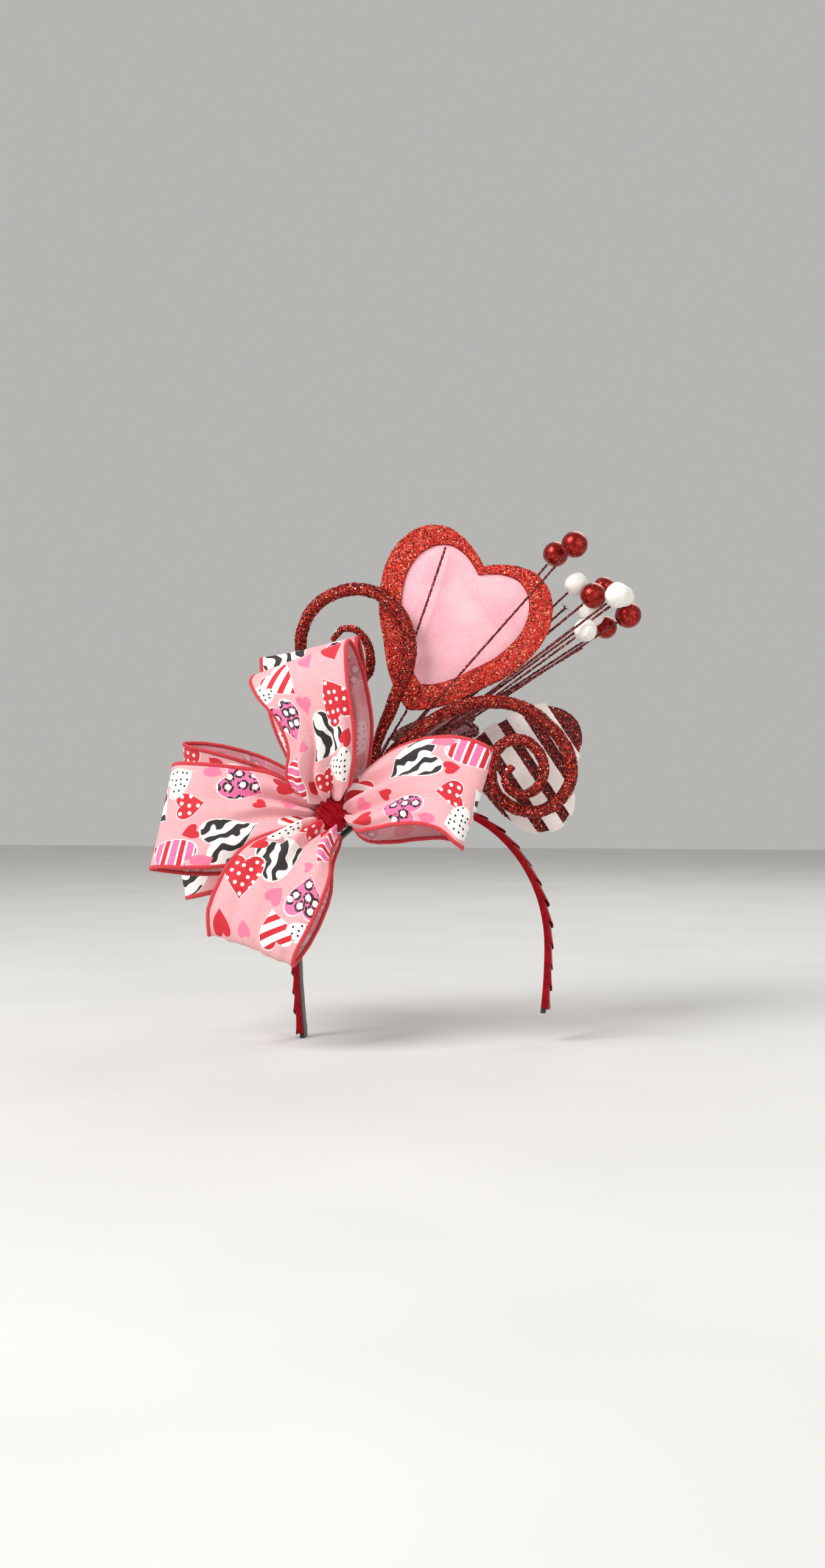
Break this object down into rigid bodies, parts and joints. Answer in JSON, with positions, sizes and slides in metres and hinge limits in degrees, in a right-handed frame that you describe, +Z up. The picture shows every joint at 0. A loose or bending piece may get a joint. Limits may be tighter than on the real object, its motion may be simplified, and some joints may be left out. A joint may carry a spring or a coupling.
{
  "type": "valentine headband",
  "caption": "Ribbon-wound alice band with a printed ribbon bow and a spray of glitter hearts, curls and berries on wires.",
  "frame": {"origin": "crown of the band's inner face, where it sits on the head", "axes": "+X across the head with the bow on -X, +Y from the face to the back of the head, +Z up"},
  "size_m": [0.2872, 0.1593, 0.3113],
  "materials": {
    "band_core": "matt black woven cover of a flexible band",
    "red_satin": "red satin ribbon with a soft sheen",
    "printed_ribbon": "pink linen-look ribbon printed with hearts, red overlocked edges",
    "red_glitter": "red glitter over foam",
    "pink_felt": "pale pink glittered felt",
    "dark_glitter": "dark red glitter over foam",
    "dusky_felt": "dusky pink felt",
    "white_foam": "off-white foam with a light glitter",
    "glitter_wire": "wire wound in dark red tinsel",
    "red_berry": "dark red metallic glitter ball",
    "white_berry": "frosted white ball"
  },
  "bodies": {
    "root": {"band_core": "band_core", "band_wrap_left": "red_satin", "band_wrap_right": "red_satin", "bare_wire_front": "glitter_wire", "bare_wire_long": "glitter_wire", "bare_wire_low": "glitter_wire", "berry_red_1": "red_berry", "berry_red_2": "red_berry", "berry_red_3": "red_berry", "berry_red_4": "red_berry", "berry_red_5": "red_berry", "berry_red_6": "red_berry", "berry_white_1": "white_berry", "berry_white_2": "white_berry", "berry_white_3": "white_berry", "berry_white_4": "white_berry", "berry_white_5": "white_berry", "big_heart_frame": "red_glitter", "big_heart_insert": "pink_felt", "centre_tie": "red_satin", "foam_strip_1": "white_foam", "foam_strip_2": "white_foam", "foam_strip_3": "white_foam", "foam_strip_4": "white_foam", "left_curl": "red_glitter", "loop_left_back": "printed_ribbon", "loop_left_front": "printed_ribbon", "loop_low_back": "printed_ribbon", "loop_low_front": "printed_ribbon", "loop_right": "printed_ribbon", "loop_top_back": "printed_ribbon", "loop_top_front": "printed_ribbon", "right_curl": "red_glitter", "small_heart_frame": "dark_glitter", "small_heart_insert": "dusky_felt", "stem_big_heart": "glitter_wire", "stem_hub": "red_satin", "stem_red_1": "glitter_wire", "stem_red_2": "glitter_wire", "stem_red_3": "glitter_wire", "stem_red_4": "glitter_wire", "stem_red_5": "glitter_wire", "stem_red_6": "glitter_wire", "stem_small_heart": "glitter_wire", "stem_striped_heart": "glitter_wire", "stem_white_1": "glitter_wire", "stem_white_2": "glitter_wire", "stem_white_3": "glitter_wire", "stem_white_4": "glitter_wire", "stem_white_5": "glitter_wire", "striped_heart": "dark_glitter"}
  },
  "joints": []
}
